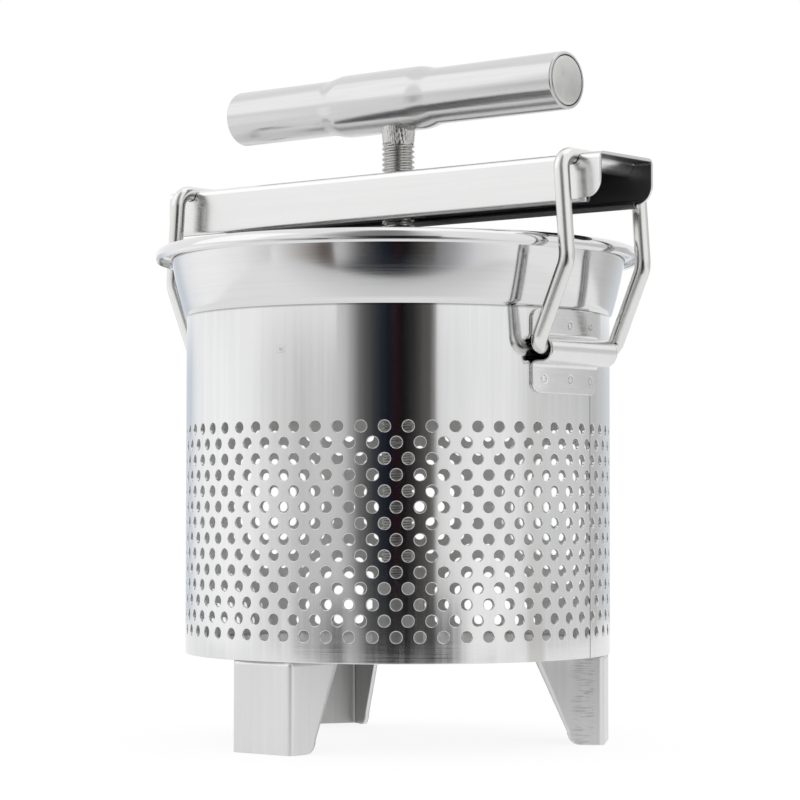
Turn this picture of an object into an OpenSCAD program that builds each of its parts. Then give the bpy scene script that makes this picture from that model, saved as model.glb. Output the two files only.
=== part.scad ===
// Manual screw juice press: perforated basket on three legs, beam held by two bails.
// Millimetres. Origin under the middle of the basket, on the plane of the feet.
// X runs along the beam, Z is up, the first leg stands near the front on -Y.

/* [Basket wall] */
// outer diameter of the wall
wall_d = 200; // [140:1:280]
// sheet thickness of the basket
sheet = 1.2; // [0.8:0.1:2]
// height of the wall, bottom edge to the crease
wall_h = 158.3; // [120:0.1:220]
// diameter of a drain hole
hole_d = 5.2; // [3:0.1:6]
// holes round one row
hole_count = 60; // [40:1:64]
// number of rows
hole_rows = 14; // [6:1:14]
// distance between rows
row_step = 7.1; // [6:0.1:9]
// height of the lowest row above the bottom edge
row_first = 11.7; // [8:0.1:20]
// turn of the top row from the front
hole_turn = 0.6; // [0:0.1:6]

/* [Collar and rim] */
// height of the flared part
collar_h = 23.3; // [15:0.1:40]
// how far the collar flares out
collar_flare = 6.8; // [3:0.1:12]
// step out of the collar over the wall at the crease
crease_step = 0.9; // [0.5:0.1:1.5]
// radius of the rolled rim
rim_r = 4.3; // [3:0.1:6]

/* [Floor] */
// thickness of the floor sheet
floor_t = 1.5; // [1:0.1:3]
// rings of drain holes in the floor
floor_rings = 6; // [2:1:8]
// distance between the rings
floor_step = 13; // [8:0.5:16]

/* [Legs] */
// height of the feet below the basket
leg_h = 41; // [30:1:70]
// width of the flat outer face
leg_w = 35; // [24:1:44]
// sheet thickness of a leg
leg_t = 1.8; // [1:0.1:2.5]
// depth of a side at the top
leg_deep = 33; // [24:1:45]
// depth of a side at the foot
leg_foot = 17; // [12:0.5:24]
// rounding of the foot's inner corner
leg_round = 6; // [3:0.5:8]
// turn of the first leg from the front
leg_turn = 2; // [-10:1:10]

/* [Bails] */
// wire diameter
wire_d = 7.2; // [5:0.1:8]
// distance between the two sides of a loop
bail_w = 58; // [50:0.5:75]
// how far the hinge bar hangs below the crease
pivot_down = 18.8; // [16:0.1:60]
// height from the hinge bar to the kink
kink_z = 38; // [25:0.5:60]
// how far the kink stands out from the hinge bar
kink_out = 17; // [8:0.1:22]
// how far the top bar stands in from the kink
bar_in = 3.5; // [0.5:0.1:6]
// bend radius at the hinge bar
bend_low = 5.5; // [5:0.5:8]
// bend radius at the top bar
bend_top = 7; // [5:0.5:8]
// bend radius at the kink
bend_kink = 14; // [8:0.5:25]
// free space round a moving wire
wire_gap = 0.35; // [0.3:0.05:0.6]

/* [Brackets] */
// width of a strap along the wall
strap_w = 49; // [36:1:52]
// sheet thickness of a strap
strap_t = 1.4; // [1:0.1:2]
// height of the lower flange
strap_low = 13; // [8:0.5:18]
// height of the upper flange
strap_up = 12.5; // [8:0.5:14]
// rounding of a flange's outer corners
strap_round = 5; // [2:0.5:7]
// inner radius of the tunnel
tunnel_r = 4.8; // [4:0.1:6]
// distance of the tunnel's axis from the wall
tunnel_off = 3.6; // [3:0.1:6]

/* [Beam] */
// how far the beam runs past the top bars
beam_over = 14.8; // [10:0.1:30]
// width of the beam
beam_w = 41; // [34:0.5:48]
// height of the beam
beam_h = 22.2; // [16:0.2:30]
// sheet thickness of the beam
beam_t = 1.6; // [1.2:0.1:2.5]
// bend radius of the top edges, outside
beam_r = 3; // [2.5:0.1:5]
// rounding of the lower end corners
beam_end_r = 8; // [4:0.5:10]
// diameter of the rolled hem
hem_d = 4; // [3.5:0.1:5]
// sheet thickness of the hem
hem_t = 1.2; // [0.8:0.1:1.6]
// gap between the rim's top and the underside of the hem
beam_lift = 12.8; // [8:0.1:40]
// how far the top bar stands proud of the beam
bar_proud = 2.2; // [0.5:0.1:2.8]

/* [Screw] */
// outer diameter of the thread
screw_d = 15.5; // [12:0.5:20]
// thread pitch
pitch = 2.5; // [2:0.1:3.5]
// running clearance in the nut and in the hub
run_gap = 0.06; // [0.02:0.01:0.1]
// width of the nut across its flats
nut_w = 25; // [22:0.5:30]
// height of the nut
nut_h = 17; // [12:0.5:19]
// free space round the screw in the beam's top
hole_gap = 0.5; // [0.3:0.1:2]

/* [Handle] */
// height of the handle's axis above the beam
handle_up = 36.5; // [35:0.1:60]
// length of the handle tube
handle_l = 200; // [160:1:260]
// how far the tube's middle stands off the screw
handle_off = -0.4; // [-8:0.1:8]
// tube diameter at the ends
tube_d = 26.5; // [22:0.5:32]
// tube diameter in the middle
belly_d = 30; // [26:0.5:36]
// length of the thick middle
belly_l = 44; // [40:1:70]
// how far the thick middle stands off the screw
belly_off = -7.5; // [-8:0.1:8]
// length of each taper
taper_l = 12; // [8:0.5:25]
// wall thickness of the tube
tube_t = 1.5; // [1:0.1:2.5]
// depth of an end plug
cap_deep = 8; // [4:0.5:15]
// radius of the plug's low dome
cap_dome = 60; // [40:1:120]
// height of the dome over the tube's end
cap_rise = 1.2; // [0.6:0.1:3]
// height of the weld under the handle
weld_h = 6.4; // [3:0.1:10]
// how far the weld stands out at the handle
weld_out = 1; // [0.6:0.1:4]

/* [Press plate] */
// gap between the plate and the wall
plate_gap = 1.5; // [0.8:0.1:4]
// thickness of the plate
plate_t = 3; // [2:0.1:5]
// gap under the plate as shown
plate_lift = 0.6; // [0.4:0.1:5]
// outer diameter of the hub
hub_d = 24; // [23:0.5:32]
// height of the hub
hub_h = 27.5; // [22:0.5:35]
// diameter of the screw's plain end
tip_d = 12; // [9:0.5:13]
// diameter of a retaining pin
pin_d = 3; // [2.5:0.1:4]
// height of the pins above the plate
pin_up = 11; // [7:0.5:18]
// free space between a pin and the groove
pin_gap = 0.3; // [0.3:0.05:0.6]
// thickness of the thrust washer
washer_t = 2; // [1:0.1:4]
// running clearance over the washer
washer_gap = 0.05; // [0.02:0.01:0.1]
// bare neck of the screw between the hub and the thread
neck_gap = 0.6; // [0.4:0.1:3]

/* [Hidden] */
$fn = 48;
tiny = 0.01;
wall_r = wall_d / 2;
wall_in = wall_r - sheet;
z_wall = leg_h;
z_crease = z_wall + wall_h;
z_flare = z_crease + collar_h;
row_top = row_first + row_step * (hole_rows - 1);

// rim: the collar runs up into a rolled lip
flare_r = wall_r + collar_flare;
rim_cx = flare_r + rim_r - sheet / 2;
rim_cz = z_flare + rim_r;
rim_top = rim_cz + rim_r;

floor_z = z_wall;
plate_z = floor_z + floor_t + plate_lift;
plate_r = wall_in - plate_gap;

// bails and straps
wire_r = wire_d / 2;
half_w = bail_w / 2;
lap = 0.2;
swell = 0.02;
tunnel_x = wall_r + tunnel_off;
pivot_x = tunnel_x + (tunnel_r - wire_r) / 3;
bail_z = z_crease - pivot_down;
tunnel_z = bail_z - (tunnel_r - wire_r) * 0.7;
bar_x = pivot_x + kink_out - bar_in;
strap_mid = tunnel_r + strap_t;

// beam
beam_l = 2 * (bar_x + beam_over);
beam_z0 = rim_top + beam_lift;
beam_z1 = beam_z0 + beam_h;
bar_z = beam_z1 + bar_proud - wire_r;
hem_r = hem_d / 2;

// screw and handle
screw_r = screw_d / 2;
thread_deep = 0.58 * pitch;
handle_z = beam_z1 + handle_up;
belly_r = belly_d / 2;
tube_r = tube_d / 2;
hub_z0 = plate_z + plate_t;
hub_z1 = hub_z0 + hub_h;
tip_r = tip_d / 2;
tip_z0 = hub_z0 + washer_t;
pin_z = hub_z0 + pin_up;
groove_w = pin_d + 2 * pin_gap;
groove_r = tip_r - pin_d * 0.55;
pin_x = groove_r + pin_gap + pin_d / 2;
thread_z0 = hub_z1 + neck_gap;
thread_turns = floor((handle_z - belly_r - thread_z0) / pitch);

steel = [0.80, 0.81, 0.82];
satin = [0.72, 0.73, 0.74];
dark_steel = [0.55, 0.56, 0.57];

// angle from the front, counted towards +X
module at_turn(a) {
    rotate([0, 0, a - 90])
        children();
}

module tube(r_out, r_in, h) {
    difference() {
        cylinder(h = h, r = r_out);
        translate([0, 0, -1])
            cylinder(h = h + 2, r = r_in);
    }
}

module basket_wall() {
    color(steel)
    difference() {
        translate([0, 0, z_wall])
            tube(wall_r, wall_in, wall_h, $fn = 120);
        for (i = [0 : hole_rows - 1])
            for (k = [0 : hole_count - 1])
                translate([0, 0, z_wall + row_top - i * row_step])
                    at_turn(hole_turn + (k + (i % 2) / 2) * 360 / hole_count)
                        translate([wall_in - 2, 0, 0])
                            rotate([0, 90, 0])
                                cylinder(h = sheet + 4, d = hole_d, $fn = 24);
    }
}

module collar_profile() {
    // flared band, from a rounded foot at the crease up into the rim
    polygon([
        [wall_in, z_crease],
        [wall_r, z_crease],
        [wall_r + crease_step * 0.7, z_crease + 0.5],
        [wall_r + crease_step, z_crease + 1.6],
        [flare_r, z_flare],
        [flare_r, rim_cz],
        [flare_r - sheet, rim_cz],
        [flare_r - sheet, z_flare],
        [wall_in + crease_step, z_crease + 1.8]
    ]);
    // rolled lip, open below
    difference() {
        translate([rim_cx, rim_cz])
            circle(r = rim_r);
        translate([rim_cx, rim_cz])
            circle(r = rim_r - sheet);
        translate([rim_cx - rim_r - 1, rim_cz - rim_r - 1])
            square([2 * rim_r + 2, rim_r + 1]);
    }
    difference() {
        translate([rim_cx, rim_cz])
            circle(r = rim_r);
        translate([rim_cx, rim_cz])
            circle(r = rim_r - sheet);
        translate([rim_cx - rim_r - 1, rim_cz - rim_r * 0.75 - rim_r])
            square([2 * rim_r + 2, rim_r]);
        translate([rim_cx - rim_r - 1, rim_cz - rim_r - 1])
            square([rim_r + 1, 2 * rim_r + 2]);
    }
}

module flared_collar() {
    color(steel)
    rotate_extrude($fn = 120)
        collar_profile();
}

module basket_floor() {
    color(satin)
    difference() {
        translate([0, 0, floor_z])
            cylinder(h = floor_t, r = wall_in, $fn = 120);
        for (ring = [1 : floor_rings])
            for (k = [0 : ring * 6 - 1])
                rotate([0, 0, k * 60 / ring])
                    translate([ring * floor_step, 0, floor_z - 1])
                        cylinder(h = floor_t + 2, d = hole_d, $fn = 24);
    }
}

module leg_side() {
    // outline of one side, drawn with x inward from the outer face and y up
    polygon([
        [0, 0],
        [leg_foot - leg_round, 0],
        [leg_foot, leg_round],
        [leg_deep, leg_h],
        [0, leg_h]
    ]);
    translate([leg_foot - leg_round - 0.6, leg_round])
        circle(r = leg_round);
}

module leg_side_trim() {
    intersection() {
        leg_side();
        square([leg_deep, leg_h]);
    }
}

module leg(a) {
    // the outer face is a chord whose corners meet the wall's outer edge
    face = sqrt(wall_r * wall_r - leg_w * leg_w / 4);
    color(satin)
    at_turn(a) {
        translate([face - leg_t, -leg_w / 2, 0])
            cube([leg_t, leg_w, leg_h]);
        for (s = [-1, 1])
            translate([face, s * (leg_w / 2 - leg_t / 2) + leg_t / 2, 0])
                rotate([90, 0, 0])
                    linear_extrude(height = leg_t)
                        mirror([1, 0])
                            leg_side_trim();
    }
}

module leg_front() {
    leg(leg_turn);
}

module leg_right() {
    leg(leg_turn + 120);
}

module leg_left() {
    leg(leg_turn + 240);
}

module strap_section(grow) {
    // the tunnel's section with x outward and y up, from inside the wall to its crown
    translate([tunnel_x, tunnel_z])
        circle(r = tunnel_r + grow);
    translate([wall_r - 12, tunnel_z - tunnel_r - grow])
        square([12 + tunnel_off, 2 * (tunnel_r + grow)]);
}

module strap_flange(z0, h) {
    // a patch of sheet that lies on the wall, with rounded outer corners
    r = strap_round;
    intersection() {
        translate([0, 0, z0])
            tube(wall_r + strap_t, wall_r, h, $fn = 120);
        translate([wall_r - 20, 0, 0])
            rotate([90, 0, 90])
                linear_extrude(height = 40)
                    union() {
                        translate([-strap_w / 2, z0 + (z0 < tunnel_z ? r : 0)])
                            square([strap_w, h - r]);
                        translate([-strap_w / 2 + r, z0])
                            square([strap_w - 2 * r, h]);
                        for (s = [-1, 1])
                            translate([s * (strap_w / 2 - r), z0 < tunnel_z ? z0 + r : z0 + h - r])
                                circle(r = r);
                    }
    }
}

module bracket() {
    color(satin)
    union() {
        difference() {
            translate([0, strap_w / 2, 0])
                rotate([90, 0, 0])
                    linear_extrude(height = strap_w)
                        difference() {
                            strap_section(strap_t);
                            strap_section(0);
                        }
            cylinder(h = z_crease, r = wall_r, $fn = 120);
        }
        strap_flange(tunnel_z - strap_mid - strap_low, strap_low + strap_t);
        strap_flange(tunnel_z + tunnel_r, strap_up + strap_t);
    }
}

module bracket_right() {
    bracket();
}

module bracket_left() {
    rotate([0, 0, 180])
        bracket();
}

module rod(p, q) {
    // straight wire from p to q, let into the bends at both ends
    v = q - p;
    len = norm(v);
    b = acos(v[2] / len);
    c = atan2(v[1], v[0]);
    translate(p - v / len * lap)
        rotate([0, b, c])
            cylinder(h = len + 2 * lap, r = wire_r, $fn = 64);
}

module bail() {
    // the lower part leans out to the kink, the upper part leans back in to the top bar
    kink = bail_z + kink_z;
    lean = atan2(kink_out, kink_z);
    back = atan2(bar_in, bar_z - kink);
    cut = bend_kink * tan((lean + back) / 2);
    up = [sin(lean), 0, cos(lean)];
    over = [-sin(back), 0, cos(back)];
    color(steel)
    union() {
        // hinge bar
        rod([pivot_x, -half_w + bend_low, bail_z], [pivot_x, half_w - bend_low, bail_z]);
        // top bar
        rod([bar_x, -half_w + bend_top, bar_z], [bar_x, half_w - bend_top, bar_z]);
        for (s = [-1, 1]) {
            foot = [pivot_x, s * half_w, bail_z];
            corner = [pivot_x + kink_out, s * half_w, kink];
            head = [bar_x, s * half_w, bar_z];
            // lower bend, in the leaning plane
            translate([pivot_x, s * (half_w - bend_low), bail_z])
                rotate([0, lean, 0])
                    translate([0, 0, bend_low])
                        rotate([0, 90, 0])
                            rotate([0, 0, s > 0 ? 0 : 270])
                                rotate_extrude(angle = 90, $fn = 96)
                                    translate([bend_low, 0])
                                        circle(r = wire_r + swell, $fn = 64);
            // leaning part up to the kink
            rod(foot + bend_low * up, corner - cut * up);
            // kink
            translate(corner - cut * up + bend_kink * [-cos(lean), 0, sin(lean)])
                rotate([90, 0, 0])
                    rotate([0, 0, -lean])
                        rotate_extrude(angle = lean + back, $fn = 96)
                            translate([bend_kink, 0])
                                circle(r = wire_r + swell, $fn = 64);
            // upper part
            rod(corner + cut * over, head - bend_top * over);
            // upper bend
            translate([bar_x, s * (half_w - bend_top), bar_z])
                rotate([0, -back, 0])
                    translate([0, 0, -bend_top])
                        rotate([0, 90, 0])
                            rotate([0, 0, s > 0 ? 90 : 180])
                                rotate_extrude(angle = 90, $fn = 96)
                                    translate([bend_top, 0])
                                        circle(r = wire_r + swell, $fn = 64);
        }
    }
}

module bail_right() {
    bail();
}

module bail_left() {
    rotate([0, 0, 180])
        bail();
}

module beam_section() {
    // inverted channel, y across and z up, with both lower edges rolled inwards
    difference() {
        union() {
            translate([-beam_w / 2, beam_z0 + hem_r])
                square([beam_w, beam_h - hem_r - beam_r]);
            translate([-beam_w / 2 + beam_r, beam_z0 + hem_r])
                square([beam_w - 2 * beam_r, beam_h - hem_r]);
            for (s = [-1, 1])
                translate([s * (beam_w / 2 - beam_r), beam_z1 - beam_r])
                    circle(r = beam_r);
        }
        translate([-beam_w / 2 + beam_t, beam_z0 - 1])
            square([beam_w - 2 * beam_t, beam_h + 1 - beam_r]);
        translate([-beam_w / 2 + beam_r, beam_z0 - 1])
            square([beam_w - 2 * beam_r, beam_h + 1 - beam_t]);
        for (s = [-1, 1])
            translate([s * (beam_w / 2 - beam_r), beam_z1 - beam_r])
                circle(r = beam_r - beam_t);
    }
}

module beam_hems() {
    for (s = [-1, 1])
        translate([s * (beam_w / 2 - hem_r), beam_z0 + hem_r])
            difference() {
                circle(r = hem_r);
                circle(r = hem_r - hem_t);
            }
}

module notch_trough(s) {
    // the top sheet is pressed down under each top bar
    r = wire_r + wire_gap + beam_t;
    intersection() {
        translate([s * bar_x, beam_w / 2 - beam_t / 2, bar_z])
            rotate([90, 0, 0])
                cylinder(h = beam_w - beam_t, r = r);
        translate([s * bar_x - r - 1, -beam_w / 2, beam_z0])
            cube([2 * r + 2, beam_w, beam_h - beam_t / 2]);
    }
}

module crossbar() {
    color(satin)
    difference() {
        union() {
            for (s = [-1, 1])
                notch_trough(s);
            translate([-beam_l / 2, 0, 0])
                rotate([90, 0, 90])
                    linear_extrude(height = beam_l)
                        beam_section();
            translate([-beam_l / 2 + beam_end_r, 0, 0])
                rotate([90, 0, 90])
                    linear_extrude(height = beam_l - 2 * beam_end_r)
                        beam_hems();
        }
        // rounded lower corners at both ends
        for (s = [-1, 1])
            translate([s * (beam_l / 2 - beam_end_r), beam_w / 2 + 1, beam_z0 + hem_r + beam_end_r])
                rotate([90, 0, 0])
                    difference() {
                        translate([s > 0 ? 0 : -beam_end_r - 1, -beam_end_r - 1, 0])
                            cube([beam_end_r + 1, beam_end_r + 1, beam_w + 2]);
                        cylinder(h = beam_w + 2, r = beam_end_r);
                    }
        // notch for the top bar of each bail
        for (s = [-1, 1])
            translate([s * bar_x, beam_w / 2 + 1, bar_z])
                rotate([90, 0, 0]) {
                    cylinder(h = beam_w + 2, r = wire_r + wire_gap);
                    translate([-wire_r - wire_gap, 0, 0])
                        cube([wire_d + 2 * wire_gap, beam_h, beam_w + 2]);
                }
        // hole for the screw
        translate([0, 0, beam_z1 - beam_t - 1])
            cylinder(h = beam_t + 2, r = screw_r + hole_gap);
    }
}

module beam_nut() {
    color(satin)
    translate([0, 0, beam_z1 - beam_t - nut_h])
        difference() {
            cylinder(h = nut_h, d = nut_w / cos(30), $fn = 6);
            translate([0, 0, -1])
                cylinder(h = nut_h + 2, r = screw_r + run_gap);
        }
}

module thread_profile() {
    // ridges of the thread, drawn as rings
    polygon(concat(
        [[0, thread_z0]],
        [for (i = [0 : thread_turns - 1])
            for (p = [[-thread_deep, 0], [-thread_deep, 0.1], [0, 0.42], [0, 0.62], [-thread_deep, 0.94]])
                [screw_r + p[0], thread_z0 + (i + p[1]) * pitch]],
        [[screw_r - thread_deep, handle_z], [0, handle_z]]
    ));
}

module belly_solid() {
    translate([belly_off - belly_l, 0, handle_z])
        rotate([0, 90, 0])
            cylinder(h = 2 * belly_l, r = belly_r);
}

module screw() {
    color(dark_steel)
    difference() {
        union() {
            rotate_extrude()
                thread_profile();
            translate([0, 0, tip_z0])
                cylinder(h = thread_z0 - tip_z0 + tiny, r = tip_r);
        }
        // groove for the pins
        translate([0, 0, pin_z - groove_w / 2])
            tube(tip_r + 1, groove_r, groove_w);
        // the head is cut to the handle
        belly_solid();
    }
}

module handle_tube() {
    // both ends of the tube and of its thick middle, along x
    x0 = handle_off - handle_l / 2;
    x1 = handle_off + handle_l / 2;
    b0 = belly_off - belly_l / 2;
    b1 = belly_off + belly_l / 2;
    color(steel)
    translate([0, 0, handle_z])
        rotate([0, 90, 0])
            rotate_extrude()
                polygon([
                    [tube_r - tube_t, x0],
                    [tube_r, x0],
                    [tube_r, b0 - taper_l],
                    [belly_r, b0],
                    [belly_r, b1],
                    [tube_r, b1 + taper_l],
                    [tube_r, x1],
                    [tube_r - tube_t, x1],
                    [tube_r - tube_t, b1 + taper_l],
                    [belly_r - tube_t, b1],
                    [belly_r - tube_t, b0],
                    [tube_r - tube_t, b0 - taper_l]
                ]);
}

module handle_cap() {
    // plug with a low dome, drawn along z with its face at the tube's end
    r = tube_r - tube_t;
    intersection() {
        translate([0, 0, -cap_deep])
            cylinder(h = cap_deep + cap_rise + 1, r = r);
        translate([0, 0, cap_rise - cap_dome])
            sphere(r = cap_dome, $fn = 96);
    }
}

module handle_cap_right() {
    color(satin)
    translate([handle_off + handle_l / 2, 0, handle_z])
        rotate([0, 90, 0])
            handle_cap();
}

module handle_cap_left() {
    color(satin)
    translate([handle_off - handle_l / 2, 0, handle_z])
        rotate([0, -90, 0])
            handle_cap();
}

module handle_weld() {
    z0 = handle_z - belly_r - weld_h;
    h = weld_h + belly_r / 2;
    color(dark_steel)
    difference() {
        translate([0, 0, z0])
            cylinder(h = h, r1 = screw_r + weld_out / 2, r2 = screw_r + weld_out * 1.5);
        belly_solid();
        translate([0, 0, z0 - 1])
            cylinder(h = h + 2, r = screw_r);
    }
}

module press_plate() {
    color(satin)
    translate([0, 0, plate_z])
        cylinder(h = plate_t, r = plate_r, $fn = 120);
}

module plate_hub() {
    color(satin)
    difference() {
        translate([0, 0, hub_z0])
            cylinder(h = hub_h, d = hub_d);
        translate([0, 0, hub_z0 - 1])
            cylinder(h = hub_h + 2, r = tip_r + run_gap);
        for (s = [-1, 1])
            translate([s * pin_x, hub_d, pin_z])
                rotate([90, 0, 0])
                    cylinder(h = hub_d * 2, d = pin_d);
    }
}

module hub_pins() {
    color(dark_steel)
    for (s = [-1, 1])
        translate([s * pin_x, 0, pin_z])
            rotate([90, 0, 0])
                cylinder(h = sqrt(hub_d * hub_d - 4 * pin_x * pin_x) - 1.5, d = pin_d, center = true);
}

module thrust_washer() {
    color(dark_steel)
    translate([0, 0, hub_z0])
        cylinder(h = washer_t - washer_gap, r = tip_r);
}

basket_wall();
flared_collar();
basket_floor();
leg_front();
leg_right();
leg_left();
bracket_right();
bracket_left();
bail_right();
bail_left();
crossbar();
beam_nut();
screw();
handle_tube();
handle_cap_right();
handle_cap_left();
handle_weld();
press_plate();
plate_hub();
hub_pins();
thrust_washer();
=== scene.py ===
"""Looks of a manual screw juice press: sheet-metal meshes, steel finishes, studio and camera.

Metres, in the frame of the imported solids: X along the beam, Z up, the feet at z = 0.
An angle round the basket is counted from the front (-Y) towards +X.
"""
import math

import bmesh
import bpy
from mathutils import Matrix, Vector


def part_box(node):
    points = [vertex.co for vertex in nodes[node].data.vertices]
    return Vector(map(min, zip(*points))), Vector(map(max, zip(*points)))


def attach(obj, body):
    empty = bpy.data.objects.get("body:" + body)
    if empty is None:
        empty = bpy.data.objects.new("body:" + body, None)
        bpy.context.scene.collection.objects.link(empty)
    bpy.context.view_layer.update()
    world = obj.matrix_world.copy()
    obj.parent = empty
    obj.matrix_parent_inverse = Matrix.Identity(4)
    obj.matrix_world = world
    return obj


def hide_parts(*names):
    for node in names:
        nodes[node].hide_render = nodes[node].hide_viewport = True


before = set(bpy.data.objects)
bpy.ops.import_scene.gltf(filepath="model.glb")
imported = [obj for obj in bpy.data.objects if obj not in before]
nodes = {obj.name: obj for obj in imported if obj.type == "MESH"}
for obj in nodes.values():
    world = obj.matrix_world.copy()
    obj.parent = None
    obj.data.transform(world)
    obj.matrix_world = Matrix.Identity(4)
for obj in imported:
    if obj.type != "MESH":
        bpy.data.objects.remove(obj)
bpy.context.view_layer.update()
mm = 0.001

# Sizes that the frame gives
wall_low, wall_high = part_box("basket_wall")
strap_low, strap_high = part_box("bracket_right")
tube_low, tube_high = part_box("handle_tube")
pins_low, pins_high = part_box("hub_pins")
collar_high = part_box("flared_collar")[1]
bail_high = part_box("bail_right")[1]
beam_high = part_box("crossbar")[1]
hub_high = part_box("plate_hub")[1]
screw_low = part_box("screw")[0]
wall_r = wall_high.x
crease_z = wall_high.z
handle_z = (tube_low.z + tube_high.z) / 2

# Sizes that the solids share with this script
sheet = 1.2 * mm
hole_r = 2.6 * mm
hole_count = 60
hole_rows = 14
row_step = 7.1 * mm
row_first = 11.7 * mm
hole_turn = math.radians(0.6)
rim_r = 4.3 * mm
crease_step = 0.9 * mm
wire_r = 3.6 * mm
bail_half = 29 * mm
hinge_x = 104.0 * mm
hinge_z = 180.5 * mm
kink_x = 121.0 * mm
kink_up = 38 * mm
bar_x = 117.5 * mm
bend_low = 5.5 * mm
bend_top = 7 * mm
bend_kink = 14 * mm
strap_t = 1.4 * mm
strap_half = 24.3 * mm                         # 0.2 mm short of the solid, clear of the bail
strap_round = 5 * mm
tunnel_r = 4.8 * mm
tunnel_x = 103.6 * mm
tunnel_z = 179.66 * mm
leg_w = 35 * mm
leg_t = 1.8 * mm
leg_deep = 33 * mm
leg_foot = 17 * mm
leg_round = 6 * mm
leg_turns = {"leg_front": 2, "leg_right": 122, "leg_left": 242}
screw_r = 7.75 * mm
pitch = 2.5 * mm
tip_r = 6 * mm
groove_r = 4.35 * mm
tube_r = 13.25 * mm
belly_r = 14.98 * mm
belly_mid = -7.5 * mm
belly_half = 22 * mm
taper = 12 * mm
tube_t = 1.5 * mm
weld_tall = 6.4 * mm
neck_gap = 0.6 * mm
pin_gap = 0.3 * mm

# Welds and marks that the photo shows
spot_r = 1.5 * mm
spot_welds = [(y, z) for z in (strap_low.z + 6.4 * mm, strap_high.z - 7.2 * mm)
              for y in (-17.5 * mm, 0.2 * mm, 17.2 * mm)]
seam_turn = math.radians(101.1)
# angle of a darker brownish upright band on the wall
dark_band_turn = math.radians(77.9)
smudge_turn = math.radians(8.8)
smudge_z = 179 * mm


def out_at(turn):
    """Unit vector that points out of the basket at an angle from the front."""
    return Vector((math.sin(turn), -math.cos(turn), 0))


def across_at(turn):
    """Unit vector along the basket's wall there, towards growing angles."""
    return Vector((math.cos(turn), math.sin(turn), 0))


def smooth(t):
    """Eases from 0 to 1 as t does, and holds outside."""
    t = min(max(t, 0), 1)
    return t * t * (3 - 2 * t)


# Meshes

def new_piece(name, verts, faces, material, body, replaced=(), crease_deg=38, normals=None,
              shut=False):
    """A mesh object that rides on a body, takes a finish and stands for the named nodes.

    Its open ends are closed with a face each if it is to be shut.
    """
    mesh = bpy.data.meshes.new(name)
    mesh.from_pydata(verts, [], faces)
    if normals is None:
        work = bmesh.new()
        work.from_mesh(mesh)
        bmesh.ops.remove_doubles(work, verts=work.verts, dist=1e-7)
        bare = [e for e in work.edges if not e.link_faces]
        bmesh.ops.delete(work, geom=bare, context="EDGES")
        if shut:
            bmesh.ops.holes_fill(work, edges=[e for e in work.edges if e.is_boundary])
        bmesh.ops.recalc_face_normals(work, faces=work.faces)
        work.to_mesh(mesh)
        work.free()
    mesh.polygons.foreach_set("use_smooth", [True] * len(mesh.polygons))
    if normals is None:
        mesh.set_sharp_from_angle(angle=math.radians(crease_deg))
    else:
        mesh.normals_split_custom_set(normals)
    mesh.materials.append(material)
    piece = bpy.data.objects.new(name, mesh)
    bpy.context.scene.collection.objects.link(piece)
    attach(piece, body)
    if replaced:
        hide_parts(*replaced)
    return piece


def lathe(profile, segments, place=Matrix()):
    """Vertices and faces of a closed (radius, height) outline turned round local Z."""
    count = len(profile)
    verts = []
    faces = []
    for i in range(segments):
        a = 2 * math.pi * i / segments
        verts += [place @ Vector((r * math.cos(a), r * math.sin(a), h)) for r, h in profile]
        j = (i + 1) % segments
        for k in range(count):
            m = (k + 1) % count
            faces.append((i * count + k, j * count + k, j * count + m, i * count + m))
    return verts, faces


def sheet_outline(path, thickness):
    """Closed outline of a sheet whose middle runs along a path in the plane."""
    left = []
    right = []
    for i, p in enumerate(path):
        a = Vector(path[max(i - 1, 0)])
        b = Vector(path[min(i + 1, len(path) - 1)])
        along = (b - a).normalized()
        side = Vector((-along.y, along.x)) * thickness / 2
        left.append(Vector(p) + side)
        right.append(Vector(p) - side)
    return left + right[::-1]


def rounded_loop(corners, radii, arc_steps, run_steps):
    """Closed path through the corners, each turned into an arc of its radius."""
    path = []
    count = len(corners)
    for i, p in enumerate(corners):
        to_last = (corners[i - 1] - p).normalized()
        to_next = (corners[(i + 1) % count] - p).normalized()
        half = to_last.angle(to_next) / 2
        centre = p + (to_last + to_next).normalized() * radii[i] / math.sin(half)
        start = p + to_last * radii[i] / math.tan(half) - centre
        end = p + to_next * radii[i] / math.tan(half) - centre
        if path:
            first = path[-1]
            path += [first.lerp(centre + start, k / run_steps) for k in range(1, run_steps)]
        path += [centre + start.slerp(end, k / arc_steps) * radii[i] for k in range(arc_steps + 1)]
    first = path[-1]
    path += [first.lerp(path[0], k / run_steps) for k in range(1, run_steps)]
    return path


def wire_mesh(path, radius, segments):
    """Vertices and faces of a round wire along a closed path."""
    count = len(path)
    side = Vector((1, 0, 0))
    verts = []
    faces = []
    for i, p in enumerate(path):
        along = (path[(i + 1) % count] - path[i - 1]).normalized()
        side = (side - along * side.dot(along)).normalized()
        across = along.cross(side)
        for k in range(segments):
            a = 2 * math.pi * k / segments
            verts.append(p + (side * math.cos(a) + across * math.sin(a)) * radius)
            m = (k + 1) % segments
            j = (i + 1) % count
            faces.append((i * segments + k, i * segments + m, j * segments + m, j * segments + k))
    return verts, faces


def grid_faces(rows, columns):
    """Faces of an open grid of vertices, row after row."""
    return [
        (i * columns + k, i * columns + k + 1, (i + 1) * columns + k + 1, (i + 1) * columns + k)
        for i in range(rows - 1)
        for k in range(columns - 1)
    ]


def thicken(piece, thickness):
    """Gives a skin its sheet thickness on the inside, there in the piece's last material."""
    solid = piece.modifiers.new("sheet", "SOLIDIFY")
    solid.thickness = thickness
    solid.offset = -1
    solid.use_even_offset = True
    solid.use_quality_normals = True
    solid.material_offset = len(piece.data.materials) - 1


# Steel finishes

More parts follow.
